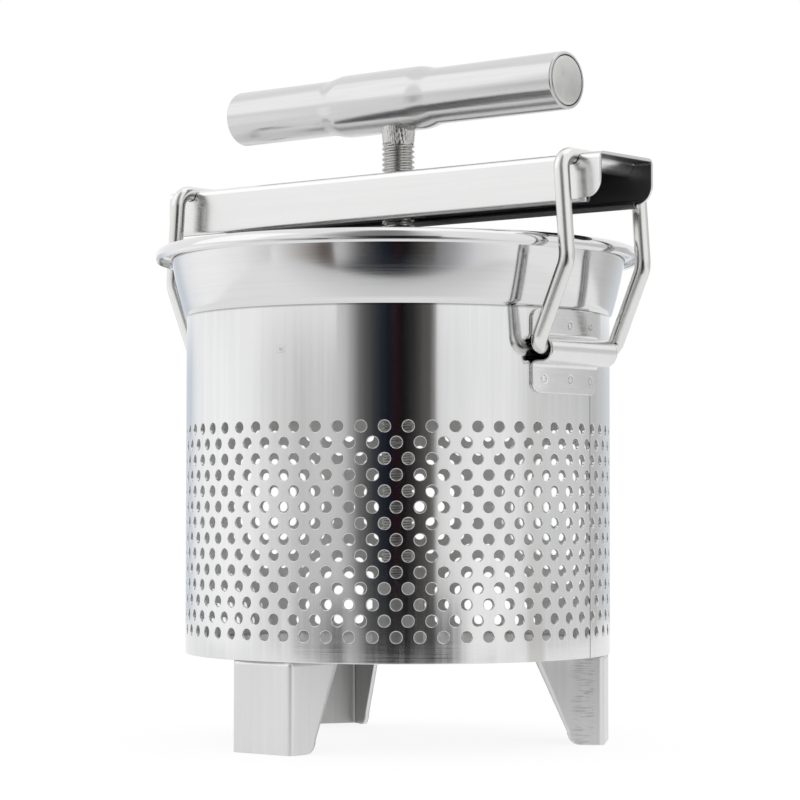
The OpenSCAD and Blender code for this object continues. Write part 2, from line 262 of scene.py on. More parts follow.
class Finish:
    """One procedural steel: noise in the object's coordinates drives tone, gloss and relief."""

    def __init__(self, name):
        self.material = bpy.data.materials.new(name)
        self.material.use_nodes = True
        self.tree = self.material.node_tree
        self.bsdf = next(n for n in self.tree.nodes if n.type == "BSDF_PRINCIPLED")
        self.bsdf.inputs["Metallic"].default_value = 1.0
        self.point = self.node("ShaderNodeTexCoord").outputs["Object"]

    def node(self, kind, inputs=None, **settings):
        made = self.tree.nodes.new(kind)
        for key, value in settings.items():
            setattr(made, key, value)
        for key, value in (inputs or {}).items():
            self.feed(made.inputs[key], value)
        return made

    def feed(self, socket, value):
        """Links a socket to another one, or sets it to a constant."""
        if isinstance(value, bpy.types.NodeSocket):
            self.tree.links.new(value, socket)
        else:
            socket.default_value = value

    def math(self, operation, a, b=0.0):
        return self.node("ShaderNodeMath", {0: a, 1: b}, operation=operation).outputs[0]

    def times(self, product, *factors):
        for factor in factors:
            product = self.math("MULTIPLY", product, factor)
        return product

    def plus(self, a, b, gain):
        """a + b * gain"""
        return self.math("ADD", a, self.times(b, gain))

    def blend(self, a, b, share):
        """a and b added up, in the shares share and 1 - share."""
        return self.plus(self.times(a, share), b, 1 - share)

    def place(self, operation, other, output="Value"):
        """Result of a vector operation on the shaded point and another vector."""
        made = self.node("ShaderNodeVectorMath", {0: self.point, 1: other}, operation=operation)
        return made.outputs[output]

    def noise(self, scale, detail=4.0, rough=0.6):
        """Noise value; scale is in waves per metre along X, Y and Z, a low one draws a streak."""
        made = self.node("ShaderNodeTexNoise", {
            "Vector": self.place("MULTIPLY", scale, "Vector"),
            "Scale": 1.0,
            "Detail": detail,
            "Roughness": rough,
        })
        return made.outputs[0]

    def span(self, value, low, high, to_low=0.0, to_high=1.0):
        """Value carried smoothly from low..high to to_low..to_high, and held outside."""
        made = self.node(
            "ShaderNodeMapRange",
            {0: value, 1: low, 2: high, 3: to_low, 4: to_high},
            interpolation_type="SMOOTHSTEP",
        )
        return made.outputs[0]

    def spread(self, noise, to_low=0.0, to_high=1.0):
        """Noise, which mostly lies between 0.3 and 0.7, drawn out over a range."""
        return self.span(noise, 0.3, 0.7, to_low, to_high)

    def mix(self, factor, a, b):
        made = self.node("ShaderNodeMix", data_type="RGBA")
        for socket, value in zip((made.inputs[0], made.inputs[6], made.inputs[7]), (factor, a, b)):
            self.feed(socket, value)
        return made.outputs[2]

    def axis(self, letter):
        return self.node("ShaderNodeSeparateXYZ", {0: self.point}).outputs[letter]

    def radius(self):
        """Distance from the basket's axis."""
        flat = self.place("MULTIPLY", (1, 1, 0), "Vector")
        return self.node("ShaderNodeVectorMath", {0: flat}, operation="LENGTH").outputs["Value"]

    def near(self, spot, reach):
        """1 at a point in space, falling to 0 at the reach."""
        return self.span(self.place("DISTANCE", spot), 0.0, reach, 1.0, 0.0)

    def near_turn(self, turn, half_width):
        """1 along an upright line on the wall at an angle from the front, 0 past a half width."""
        core = 0.4 * half_width
        side = self.math("ABSOLUTE", self.place("DOT_PRODUCT", across_at(turn)))
        ahead = self.place("DOT_PRODUCT", out_at(turn))
        line = self.span(side, core, half_width, 1.0, 0.0)
        return self.times(line, self.math("GREATER_THAN", ahead, 0.0))

    def brush(self, streak, fine):
        """Tone and gloss of a brushed face; both noise scales lie along the brushing."""
        broad = self.noise((9, 9, 9), 3.0)
        lines = self.noise(streak, 5.0, 0.65)
        hair = self.noise(fine, 3.0, 0.7)
        return self.spread(self.blend(lines, broad, 0.6)), self.blend(lines, hair, 0.5)

    def finish(self, color, rough, relief, relief_depth):
        self.feed(self.bsdf.inputs["Base Color"], color)
        self.feed(self.bsdf.inputs["Roughness"], rough)
        bump = self.node("ShaderNodeBump", {"Height": relief, "Distance": relief_depth})
        bump.inputs["Strength"].default_value = 1.0
        self.feed(self.bsdf.inputs["Normal"], bump.outputs[0])
        return self.material

    def surface(self, shader):
        """Puts another shader in the place of the steel."""
        output = next(n for n in self.tree.nodes if n.type == "OUTPUT_MATERIAL")
        self.tree.links.new(shader.outputs[0], output.inputs[0])
        self.tree.nodes.remove(self.bsdf)
        return self.material


def brushed(name, light, dark, rough, vary, streak, fine, relief_depth):
    """Brushed steel of two tones, whose roughness varies round a mean."""
    f = Finish(name)
    tone, gloss = f.brush(streak, fine)
    color = f.mix(tone, (*dark, 1), (*light, 1))
    return f.finish(color, f.spread(gloss, rough - vary, rough + vary), gloss, relief_depth)


def wall_finish():
    """Polished sheet: streaks down the wall, a cross-brushed foot, a seam, a few marks, a darker
    band, and painted shade with some grime under the crease.
    """
    f = Finish("polished_wall")
    z = f.axis("Z")
    down = f.noise((260, 260, 6), 4.0, 0.6)
    round_it = f.noise((14, 14, 1800), 4.0, 0.7)
    broad = f.noise((11, 11, 7), 3.0)
    foot = f.span(z, wall_low.z + 6 * mm, wall_low.z + 15 * mm, 1.0, 0.0)
    # painted shade, partly grime: a dark line along the top of the wall, just under the collar's
    # step
    crease_shade_and_grime = f.span(z, crease_z - 1.5 * mm, crease_z - 0.5 * mm)
    inside = f.span(f.radius(), wall_r - 0.7 * mm, wall_r - 0.5 * mm, 1.0, 0.0)
    seam = f.times(f.near_turn(seam_turn, 0.5 * mm), f.span(down, 0.30, 0.5, 0.35, 1.0))
    # a darker brownish upright band on the wall, strongest low down and fainter above
    dark_band = f.times(f.near_turn(dark_band_turn, 7 * mm), f.span(z, 48 * mm, 75 * mm, 1.0, 0.25))
    smudge = out_at(smudge_turn) * wall_r + Vector((0, 0, smudge_z))
    grain = f.noise((900, 900, 900), 2.0)
    marks = f.times(f.near(smudge, 3.2 * mm), f.span(grain, 0.45, 0.6))

    tone = f.spread(f.blend(down, broad, 0.5))
    color = f.mix(tone, (0.74, 0.745, 0.75, 1), (0.83, 0.83, 0.825, 1))
    color = f.mix(f.times(dark_band, 0.5), color, (0.46, 0.44, 0.41, 1))
    color = f.mix(f.math("MAXIMUM", seam, f.times(marks, 0.7)), color, (0.20, 0.20, 0.20, 1))
    # the painted crease shade, partly grime, darkens the colour here
    color = f.mix(f.times(crease_shade_and_grime, 0.55), color, (0.12, 0.12, 0.12, 1))
    color = f.mix(inside, color, (0.72, 0.72, 0.71, 1))

    rough = f.spread(down, 0.075, 0.125)
    rough = f.plus(rough, foot, f.span(round_it, 0.35, 0.65, -0.02, 0.04))
    rough = f.plus(rough, inside, 0.24)
    rough = f.plus(rough, marks, 0.4)

    relief = f.plus(broad, down, 0.12)
    relief = f.plus(relief, f.times(round_it, foot), 0.018)
    relief = f.plus(relief, seam, -1.2)
    return f.finish(color, rough, relief, 0.06 * mm)


def beam_finish():
    """Satin channel, brushed along its length; dull inside and coloured dark there by painted
    shade, except on the troughs.
    """
    trough_z = bail_high.z - 2 * wire_r - 2 * mm
    f = Finish("satin_beam")
    tone, gloss = f.brush((8, 700, 700), (20, 2600, 2600))
    z = f.axis("Z")
    off_middle = f.math("ABSOLUTE", f.axis("Y"))
    from_bar = f.math("ABSOLUTE", f.math("SUBTRACT", f.math("ABSOLUTE", f.axis("X")), bar_x))
    trough = f.times(
        f.span(from_bar, 5.7 * mm, 5.9 * mm, 1.0, 0.0),
        f.span(off_middle, beam_high.y - 2.0 * mm, beam_high.y - 1.8 * mm, 1.0, 0.0),
        f.span(z, trough_z - 0.3 * mm, trough_z - 0.1 * mm),
    )
    # painted shade: the channel's inside, away from the troughs, is coloured dark
    inside = f.times(
        f.span(off_middle, beam_high.y - 1.4 * mm, beam_high.y - 1.1 * mm, 1.0, 0.0),
        f.span(z, beam_high.z - 1.5 * mm, beam_high.z - 1.1 * mm, 1.0, 0.0),
        f.math("SUBTRACT", 1.0, trough),
    )
    color = f.mix(tone, (0.79, 0.79, 0.79, 1), (0.82, 0.82, 0.815, 1))
    # painted shade inside the channel
    color = f.mix(inside, color, (0.16, 0.16, 0.165, 1))
    rough = f.plus(f.spread(gloss, 0.20, 0.28), inside, 0.2)
    return f.finish(color, rough, gloss, 0.0003 * mm)


def strap_finish():
    """Pressed strap with a dark ring round each spot weld, partly weld mark and partly painted
    shade in the ring's dent.
    """
    f = Finish("pressed_strap")
    lines = f.noise((500, 14, 500), 5.0, 0.65)
    broad = f.noise((40, 40, 40), 3.0)
    tone = f.spread(f.blend(lines, broad, 0.5))
    color = f.mix(tone, (0.76, 0.76, 0.76, 1), (0.82, 0.82, 0.815, 1))
    rings = 0.0
    for y, z in spot_welds:
        spot = Vector((math.sqrt((wall_r + strap_t) ** 2 - y ** 2), y, z))
        for centre in (spot, Vector((-spot.x, -spot.y, spot.z))):
            away = f.place("DISTANCE", centre)
            off = f.math("ABSOLUTE", f.math("SUBTRACT", away, spot_r))
            rings = f.math("MAXIMUM", rings, f.span(off, 0.12 * mm, 0.42 * mm, 1.0, 0.0))
    # dark rings: partly weld marks, partly painted shade in the dents round the welds
    weld_mark_and_shade = f.times(rings, f.span(f.noise((700, 700, 700), 2.0), 0.38, 0.58, 0.15, 0.75))
    color = f.mix(weld_mark_and_shade, color, (0.22, 0.22, 0.22, 1))
    return f.finish(color, f.spread(lines, 0.18, 0.29), lines, 0.001 * mm)


def leg_finish():
    """Satin leg sheet, with the marks of the bending tool beside one bend of the right leg."""
    f = Finish("satin_leg")
    tone, gloss = f.brush((300, 300, 9), (1500, 1500, 30))
    from_axis = f.radius()
    rubbed = f.times(
        f.span(from_axis, wall_r - 17 * mm, wall_r - 11 * mm),
        f.span(from_axis, wall_r - 6 * mm, wall_r - 3 * mm, 1.0, 0.0),
        f.near_turn(math.radians(leg_turns["leg_right"]), 45 * mm),
        f.span(f.noise((120, 120, 1500), 3.0), 0.50, 0.60),
    )
    color = f.mix(tone, (0.71, 0.71, 0.715, 1), (0.78, 0.78, 0.78, 1))
    color = f.mix(f.times(rubbed, 0.45), color, (0.34, 0.34, 0.34, 1))
    return f.finish(color, f.spread(gloss, 0.27, 0.41), gloss, 0.003 * mm)


wall_steel = wall_finish()
collar_steel = brushed(
    "spun_collar", (0.76, 0.76, 0.765), (0.72, 0.72, 0.725), 0.11, 0.03,
    (12, 12, 700), (30, 30, 2600), 0.0008 * mm)
beam_steel = beam_finish()
leg_steel = leg_finish()
# painted shade: a darker copy of the leg's steel for the sheet's inner side, which faces the dark
# underside
leg_inside_shaded_steel = brushed(
    "leg_inside_painted_shade", (0.50, 0.50, 0.495), (0.40, 0.40, 0.40), 0.36, 0.07,
    (300, 300, 9), (1500, 1500, 30), 0.003 * mm)
strap_steel = strap_finish()
wire_steel = brushed(
    "drawn_wire", (0.80, 0.795, 0.78), (0.74, 0.74, 0.73), 0.21, 0.03,
    (60, 60, 18), (700, 700, 60), 0.0001 * mm)
# partly the steel's own tone, partly painted shade: the base colour is darkened for the dark
# inside of the basket that the screw mirrors
shaded_thread_steel = brushed(
    "turned_thread_painted_shade", (0.62, 0.615, 0.60), (0.44, 0.435, 0.425), 0.24, 0.07,
    (60, 60, 900), (200, 200, 2600), 0.004 * mm)
handle_steel = brushed(
    "brushed_handle", (0.67, 0.67, 0.67), (0.61, 0.61, 0.615), 0.19, 0.04,
    (16, 420, 420), (50, 1800, 1800), 0.0012 * mm)
cap_steel = brushed(
    "pressed_cap", (0.66, 0.655, 0.645), (0.56, 0.56, 0.55), 0.33, 0.06,
    (160, 160, 160), (900, 900, 900), 0.008 * mm)
weld_steel = brushed(
    "weld_bead", (0.78, 0.775, 0.75), (0.46, 0.45, 0.43), 0.26, 0.10,
    (600, 600, 180), (1600, 1600, 700), 0.025 * mm)
mill_steel = brushed(
    "mill_plate", (0.66, 0.66, 0.655), (0.56, 0.56, 0.555), 0.36, 0.08,
    (120, 120, 120), (700, 700, 700), 0.008 * mm)


# Basket

def perforated_wall():
    """The wall as a ring of cells, each with a punched hole whose outer edge is rolled in."""
    side = 6                                   # steps along one side of a cell
    columns = hole_count * side
    lip = 0.32 * mm                            # roll of a hole's outer edge
    inner_r = wall_r - sheet
    top_z = wall_low.z + row_first + row_step * (hole_rows - 0.5)
    low_z = top_z - row_step * hole_rows
    tuck = 0.02 * mm                           # how far the wall's foot is drawn in
    roll = 0.35 * mm                           # roll of the foot's outer edge
    eased = 0.3                                # place of a rolled edge's middle, in rolls
    bands = 8                                  # rows of faces above and below the holes
    verts = []
    faces = []
    normals = []
    known = {}

    def drawn_in(z):
        return tuck * (max(low_z - z, 0) / (low_z - wall_low.z)) ** 2

    def point(radius, turn, z):
        verts.append(out_at(turn) * radius + Vector((0, 0, z)))
        return len(verts) - 1

    def grid(layer, column, z):
        """Shared vertex on the outer (0) or inner (1) face."""
        key = (layer, column % columns, round(z * 1e7))  # heights to 0.1 micron
        if key not in known:
            turn = hole_turn + (column % columns) * 2 * math.pi / columns
            known[key] = point((wall_r - drawn_in(z), inner_r)[layer], turn, z)
        return known[key]

    def radial(index, sign):
        v = verts[index]
        tilt = 2 * tuck * max(low_z - v.z, 0) / (low_z - wall_low.z) ** 2 if sign > 0 else 0
        return (Vector((v.x, v.y, 0)).normalized() * sign - Vector((0, 0, tilt))).normalized()

    def face(corners, corner_normals):
        faces.append(corners)
        normals.extend(corner_normals)

    def plain(corners, sign):
        face(corners, [radial(c, sign) for c in corners])

    def cell(column, z):
        turn = hole_turn + column * 2 * math.pi / columns
        half = side // 2
        steps = range(side)
        border = [(s - half, -half) for s in steps] + [(half, s - half) for s in steps]
        border += [(half - s, half) for s in steps] + [(-half, half - s) for s in steps]
        along = across_at(turn)
        rings = []
        for du, dv in border:
            place = Vector((du * 2 * math.pi / columns * wall_r, dv * row_step / side))
            flat = place.normalized()
            to_hole = -(along * flat.x + Vector((0, 0, flat.y)))

            def at(reach, radius):
                return point(radius, turn + flat.x * reach / wall_r, z + flat.y * reach)

            rings.append((
                grid(0, column + du, z + place.y),
                at(hole_r + lip, wall_r),
                at(hole_r + eased * lip, wall_r - eased * lip),
                at(hole_r, wall_r - lip),
                at(hole_r, inner_r),
                grid(1, column + du, z + place.y),
                to_hole,
            ))
        for a, b in zip(rings, rings[1:] + rings[:1]):
            plain((a[0], b[0], b[1], a[1]), 1)
            mid = [(radial(r[2], 1) + r[6]).normalized() for r in (a, b)]
            face((a[1], b[1], b[2], a[2]), [radial(a[1], 1), radial(b[1], 1), mid[1], mid[0]])
            face((a[2], b[2], b[3], a[3]), [mid[0], mid[1], b[6], a[6]])
            face((a[3], b[3], b[4], a[4]), [a[6], b[6], b[6], a[6]])
            plain((a[4], b[4], b[5], a[5]), -1)

    for row in range(hole_rows):
        for k in range(hole_count):
            cell(side * k + (side // 2) * (row % 2), top_z - row_step * (row + 0.5))

    foot_z = wall_low.z + roll
    upper = [top_z + (crease_z - top_z) * i / bands for i in range(bands + 1)]
    lower = [foot_z + (low_z - wall_low.z - roll) * i / bands for i in range(bands + 1)]
    lower[-1] = low_z
    for levels in (upper, lower):
        for z0, z1 in zip(levels, levels[1:]):
            for c in range(columns):
                plain((grid(0, c, z0), grid(0, c + 1, z0), grid(0, c + 1, z1), grid(0, c, z1)), 1)
                plain((grid(1, c, z0), grid(1, c, z1), grid(1, c + 1, z1), grid(1, c + 1, z0)), -1)
    up = Vector((0, 0, 1))
    for c in range(columns):
        a, b = grid(0, c, crease_z), grid(0, c + 1, crease_z)
        face((a, b, grid(1, c + 1, crease_z), grid(1, c, crease_z)), [up] * 4)
    feet = []
    for c in range(columns):
        turn = hole_turn + c * 2 * math.pi / columns
        mid = point(wall_r - tuck - eased * roll, turn, wall_low.z + eased * roll)
        feet.append((grid(0, c, lower[0]), mid, point(wall_r - tuck - roll, turn, wall_low.z),
                     point(inner_r, turn, wall_low.z), grid(1, c, lower[0])))
    for a, b in zip(feet, feet[1:] + feet[:1]):
        mid = [(radial(f[1], 1) - up).normalized() for f in (a, b)]
        face((b[0], a[0], a[1], b[1]), [radial(b[0], 1), radial(a[0], 1), mid[0], mid[1]])
        face((b[1], a[1], a[2], b[2]), [mid[1], mid[0], -up, -up])
        face((b[2], a[2], a[3], b[3]), [-up] * 4)
        plain((b[3], a[3], a[4], b[4]), -1)
    return new_piece("basket_wall_sheet", verts, faces, wall_steel, "basket",
                     ["basket_wall"], normals=normals)


def flared_collar():
    """Spun collar: a small step at the crease, a nearly straight flare and an open rolled rim."""
    curl_r = rim_r - sheet / 2
    curl_x = collar_high.x - rim_r - 0.02 * mm  # clear of the solid's flat facets
    curl_z = collar_high.z - rim_r
    lean = math.radians(11)
    start = Vector((wall_r - sheet / 2, crease_z))
    tangent = Vector((curl_x - curl_r * math.cos(lean), curl_z - curl_r * math.sin(lean)))
    step_tall = 1.2 * mm                       # height of the step at the crease
    bow = 0.25                                 # how far the flare bulges
    path = [start]
    steps = 28
    for i in range(1, steps):
        t = i / steps
        z = start.y + (tangent.y - start.y) * t
        step = crease_step * smooth((z - start.y) / step_tall)
        flare = (tangent.x - start.x - crease_step) * (t + bow * t * (1 - t))
        path.append(Vector((start.x + step + flare, z)))
    open_end = math.radians(-33)               # where the rolled edge stops, below level
    turns = 26
    for i in range(turns + 1):
        a = math.pi + lean + (open_end - math.pi - lean) * i / turns
        path.append(Vector((curl_x + curl_r * math.cos(a), curl_z + curl_r * math.sin(a))))
    verts, faces = lathe(sheet_outline(path, sheet), segments=288)
    return new_piece("flared_collar_sheet", verts, faces, collar_steel, "basket",
                     ["flared_collar"])


def leg(name, turn):
    """Bent sheet leg: one skin round both sides and the face, then thickened inwards."""
    bend = 2.6 * mm
    gap = 0.15 * mm                            # free space between the leg and the wall's foot
    crowd = 1.5                                # draws the rows together at the rounded foot
    face_x = math.sqrt(wall_r ** 2 - leg_w ** 2 / 4)
    rows = 33
    path_face = 8
    path_bend = 6
    path_side = 10
    place = Matrix.Rotation(math.radians(turn - 90), 4, "Z")
    verts = []
    for i in range(rows):
        z = (wall_low.z - gap) * (i / (rows - 1)) ** crowd
        if z < leg_round:
            deep = leg_foot - leg_round + math.sqrt(leg_round ** 2 - (leg_round - z) ** 2)
        else:
            deep = leg_foot + (leg_deep - leg_foot) * (z - leg_round) / (wall_low.z - leg_round)
        half = []
        for k in range(path_side):
            half.append((face_x - deep + (deep - bend) * k / path_side, leg_w / 2))
        for k in range(path_bend):
            a = math.pi / 2 * (1 - k / path_bend)
            half.append((face_x - bend + bend * math.cos(a),
                         leg_w / 2 - bend + bend * math.sin(a)))
        for k in range(path_face + 1):
            half.append((face_x, (leg_w / 2 - bend) * (1 - k / path_face)))
        line = half + [(x, -y) for x, y in half[-2::-1]]
        verts += [place @ Vector((x, y, z)) for x, y in line]
    columns = 2 * (path_side + path_bend + path_face) + 1
    piece = new_piece(name + "_sheet", verts, grid_faces(rows, columns), leg_steel, "basket",
                      [name])
    # the inner side takes the painted-shade copy of the leg steel
    piece.data.materials.append(leg_inside_shaded_steel)
    thicken(piece, leg_t)
    return piece


# Straps and bails

def strap(name, turned):
    """Hat-shaped strap: two flanges on the wall and a straight tunnel for the hinge bar."""
    bend = 1.6 * mm
    dent = 0.2 * mm                            # depth of the ring round a spot weld
    dent_soft = 0.45 * mm                      # half its width
    crown_r = tunnel_r + strap_t
    skin_r = wall_r + strap_t
    low_z, high_z = strap_low.z, strap_high.z
    z0, z1 = tunnel_z - crown_r, tunnel_z + crown_r
    columns = 141
    flange_steps = 34
    crown_steps = 28
    bend_steps = 6
    quarter = [math.pi / 2 * k / bend_steps for k in range(bend_steps + 1)]

    def section(y):
        """Points up the strap at one place across its width."""
        x = math.sqrt(skin_r ** 2 - y ** 2)
        line = [(x, low_z + (z0 - bend - low_z) * k / flange_steps) for k in range(flange_steps)]
        line += [(x + bend - bend * math.cos(a), z0 - bend + bend * math.sin(a)) for a in quarter]
        line += [(tunnel_x + crown_r * math.sin(a), tunnel_z - crown_r * math.cos(a))
                 for a in (math.pi * k / crown_steps for k in range(crown_steps + 1))]
        line += [(x + bend - bend * math.sin(a), z1 + bend - bend * math.cos(a)) for a in quarter]
        line += [(x, z1 + bend + (high_z - z1 - bend) * k / flange_steps)
                 for k in range(1, flange_steps + 1)]
        return line

    heights = [z for x, z in section(0)]
    rows = len(heights)
    verts = []
    for i, height in enumerate(heights):
        edge = min(height - low_z, high_z - height, strap_round)
        half = strap_half - strap_round + math.sqrt(strap_round ** 2 - (strap_round - edge) ** 2)
        for k in range(columns):
            y = half * (2 * k / (columns - 1) - 1)
            x, z = section(y)[i]
            for wy, wz in spot_welds:
                away = math.hypot(y - wy, z - wz)
                x -= dent * math.exp(-((away - spot_r) / dent_soft) ** 2)
            verts.append(turned @ Vector((x, y, z)))
    piece = new_piece(name + "_sheet", verts, grid_faces(rows, columns), strap_steel, "basket",
                      [name], crease_deg=60)
    thicken(piece, strap_t)
    return piece


def bail(name, turned):
    """Closed wire loop with rounded corners and a soft kink in each side."""
    top_z = bail_high.z - wire_r
    kink_z = hinge_z + kink_up
    corners = [
        Vector((hinge_x, -bail_half, hinge_z)),
        Vector((hinge_x, bail_half, hinge_z)),
        Vector((kink_x, bail_half, kink_z)),
        Vector((bar_x, bail_half, top_z)),
        Vector((bar_x, -bail_half, top_z)),
        Vector((kink_x, -bail_half, kink_z)),
    ]
    radii = [bend_low, bend_low, bend_kink, bend_top, bend_top, bend_kink]
    path = rounded_loop([turned @ c for c in corners], radii, arc_steps=14, run_steps=8)
    verts, faces = wire_mesh(path, wire_r, segments=32)
    return new_piece(name + "_wire", verts, faces, wire_steel, name, [name])


# Spindle and handle

def thread_radius(phase):
    """Radius of the thread at a place within one pitch: root, flank, crest, flank."""
    deep = 0.44 * pitch
    stops = [(0.0, 0), (0.10, 0), (0.42, 1), (0.62, 1), (0.94, 0), (1.0, 0)]
    for (p0, h0), (p1, h1) in zip(stops, stops[1:]):
        if phase <= p1:
            return screw_r - deep + deep * (h0 + (h1 - h0) * (phase - p0) / (p1 - p0))
    return screw_r - deep


def spindle():
    """Right-hand thread as a sheared grid, with a grooved plain end and a head in the handle."""
    around = 48
    sunk = 0.6 * mm                            # reach of the head into the handle
    covered = 0.9 * mm                         # thread that runs on inside the weld
    chamfer = 0.5 * mm
    lap = 0.2 * mm                             # overlap of the plain end and the thread
    per_pitch = [0.0, 0.10, 0.26, 0.42, 0.52, 0.62, 0.78, 0.94]
    low_z = hub_high.z + neck_gap
    high_z = handle_z - belly_r + sunk
    thread_end = handle_z - belly_r - weld_tall + covered
    turns = math.ceil((high_z - low_z) / pitch) + 2
    levels = [t + p for t in range(-1, turns) for p in per_pitch]
    verts = []
    for level in levels:
        for k in range(around):
            z = low_z + (level + k / around) * pitch
            r = thread_radius(level % 1.0)
            if z < low_z:
                z, r = low_z, min(r, tip_r)
            if z > thread_end:
                z, r = min(z, high_z), min(r, tip_r)
            a = 2 * math.pi * k / around
            verts.append(Vector((r * math.cos(a), r * math.sin(a), z)))
    faces = []
    shift = len(per_pitch)
    for i in range(len(levels) - 1):
        for k in range(around - 1):
            a = i * around + k
            faces.append((a, a + 1, a + around + 1, a + around))
        if i + shift + 1 < len(levels):
            a = i * around + around - 1
            b = (i + shift) * around
            faces.append((a, b, b + around, a + around))
    pin_z = (pins_low.z + pins_high.z) / 2
    groove_half = (pins_high.z - pins_low.z) / 2 + pin_gap
    tip = [
        (0, screw_low.z),
        (tip_r - chamfer, screw_low.z),
        (tip_r, screw_low.z + chamfer),
        (tip_r, pin_z - groove_half),
        (groove_r, pin_z - groove_half),
        (groove_r, pin_z + groove_half),
        (tip_r, pin_z + groove_half),
        (tip_r, low_z + lap),
        (0, low_z + lap),
    ]
    tip_verts, tip_faces = lathe(tip, around)
    faces += [tuple(v + len(verts) for v in f) for f in tip_faces]
    verts += tip_verts
    return new_piece("screw_thread", verts, faces, shaded_thread_steel, "spindle",
                     ["screw"], crease_deg=24, shut=True)


def along_x(x):
    """Turns local Z into +X, at a place on the handle's axis."""
    return Matrix.Translation((x, 0, handle_z)) @ Matrix.Rotation(math.pi / 2, 4, "Y")


def handle():
    """Tube with a thicker middle and drawn-down ends, rounded over, and a domed plug in each."""
    half = (tube_high.x - tube_low.x) / 2
    mid = (tube_high.x + tube_low.x) / 2
    edge = 0.8 * mm                            # rounding of the mouth
    land = 12 * mm                             # first stretch of the bore
    steps = 14
    edge_steps = 5
    outer = []
    for x0, x1, r0, r1 in (
        (-belly_half - taper, -belly_half, tube_r, belly_r),
        (belly_half, belly_half + taper, belly_r, tube_r),
    ):
        outer += [(r0 + (r1 - r0) * smooth(k / steps),
                   belly_mid - mid + x0 + (x1 - x0) * k / steps) for k in range(steps + 1)]
    mouth = [(tube_r - edge + edge * math.sin(a), half - edge + edge * math.cos(a))
             for a in (math.pi / 2 * k / edge_steps for k in range(edge_steps, -1, -1))]
    inner = tube_r - tube_t
    profile = [(r, -h) for r, h in mouth[::-1]] + outer + mouth
    profile += [(inner, half), (inner, half - land), (inner, -half + land), (inner, -half)]
    verts, faces = lathe(profile, segments=96, place=along_x(mid))
    new_piece("handle_tube_drawn", verts, faces, handle_steel, "spindle",
              ["handle_tube"])

    rim = inner - 0.35 * mm                    # the plug's radius
    crown = half + 1.1 * mm                    # height of the plug's middle
    sag = 1.0 * mm                             # fall of the dome towards its edge
    fold = 0.9 * mm                            # rounding of the plug's edge
    fold_top = crown - 0.8 * mm
    plug_end = half - 6 * mm
    dome_steps = 12
    fold_steps = 4
    dome = [(rim * k / dome_steps, crown - sag * (k / dome_steps) ** 2)
            for k in range(dome_steps - 1)]
    dome += [(rim - fold + fold * math.sin(a), fold_top - fold + fold * math.cos(a))
             for a in (math.pi / 2 * k / fold_steps for k in range(1, fold_steps + 1))]
    dome += [(rim, plug_end), (0, plug_end)]
    for name, turned in (("handle_cap_right", 1), ("handle_cap_left", -1)):
        place = along_x(mid) @ Matrix.Scale(turned, 4, (0, 0, 1))
        verts, faces = lathe(dome, segments=64, place=place)
        new_piece(name + "_pressed", verts, faces, cap_steel, "spindle", [name])


def weld():
    """Fillet weld between the screw's head and the handle, with the ripple of its beads."""
    around = 180
    up = 26
    foot_r = screw_r - 0.55 * mm
    flare = 0.8 * mm
    swell = 0.25 * mm
    bead = 0.12 * mm
    sunk = 0.3 * mm                            # reach of the weld into the handle
    foot_z = handle_z - belly_r - weld_tall
    verts = []
    for i in range(up + 1):
        t = i / up
        for k in range(around):
            a = 2 * math.pi * k / around
            ripple = math.sin(34 * a + 5 * t + 1.7 * math.sin(5 * a))
            ripple += 0.7 * math.sin(57 * a - 9 * t)
            body = math.sin(math.pi * t) ** 0.5
            r = foot_r + flare * t ** 3 + swell * body + bead * ripple * body
            foot = foot_z + 0.5 * mm * math.sin(3 * a + 0.6) + 0.3 * mm * math.sin(7 * a)
            top = handle_z - math.sqrt(belly_r ** 2 - (r * math.sin(a)) ** 2) + sunk
            verts.append(Vector((r * math.cos(a), r * math.sin(a), foot + (top - foot) * t)))
    faces = []
    for i in range(up):
        for k in range(around):
            m = (k + 1) % around
            faces.append((i * around + k, i * around + m,
                          (i + 1) * around + m, (i + 1) * around + k))
    faces.append(tuple(range(around))[::-1])
    faces.append(tuple(up * around + k for k in range(around)))
    return new_piece("handle_weld_bead", verts, faces, weld_steel, "spindle",
                     ["handle_weld"], crease_deg=70)


perforated_wall()
flared_collar()
for leg_name, leg_turn in leg_turns.items():
    leg(leg_name, leg_turn)
half_turn = Matrix.Rotation(math.pi, 4, "Z")
for side_name, side_turn in (("right", Matrix()), ("left", half_turn)):
    strap("bracket_" + side_name, side_turn)
    bail("bail_" + side_name, side_turn)
spindle()
handle()
weld()

# Solids that stay, with their own finish; the floor's many holes keep their plain normals
for name, material, evened in (
    ("crossbar", beam_steel, True),
    ("beam_nut", shaded_thread_steel, True),
    ("basket_floor", mill_steel, False),
    ("press_plate", mill_steel, True),
    ("plate_hub", mill_steel, True),
    ("hub_pins", shaded_thread_steel, True),
    ("thrust_washer", shaded_thread_steel, True),
):
    node = nodes[name]
    node.data.materials.clear()
    node.data.materials.append(material)
    if evened:
        node.modifiers.new("even_faces", "WEIGHTED_NORMAL").keep_sharp = True


# Studio

camera_turn = math.radians(40)
camera_away = 1.28753
camera_up = 0.11157
camera_pitch = math.radians(2.16)
camera_roll = math.radians(0.08)
focal_widths = 2717.64 / 800                   # focal length in widths of the picture
centre_shift = 0.00244


def stage_mesh(name, verts, faces, material):
    mesh = bpy.data.meshes.new(name)
    mesh.from_pydata(verts, [], faces)
    mesh.polygons.foreach_set("use_smooth", [True] * len(mesh.polygons))
    mesh.materials.append(material)
    made = bpy.data.objects.new(name, mesh)
    bpy.context.scene.collection.objects.link(made)
    return made


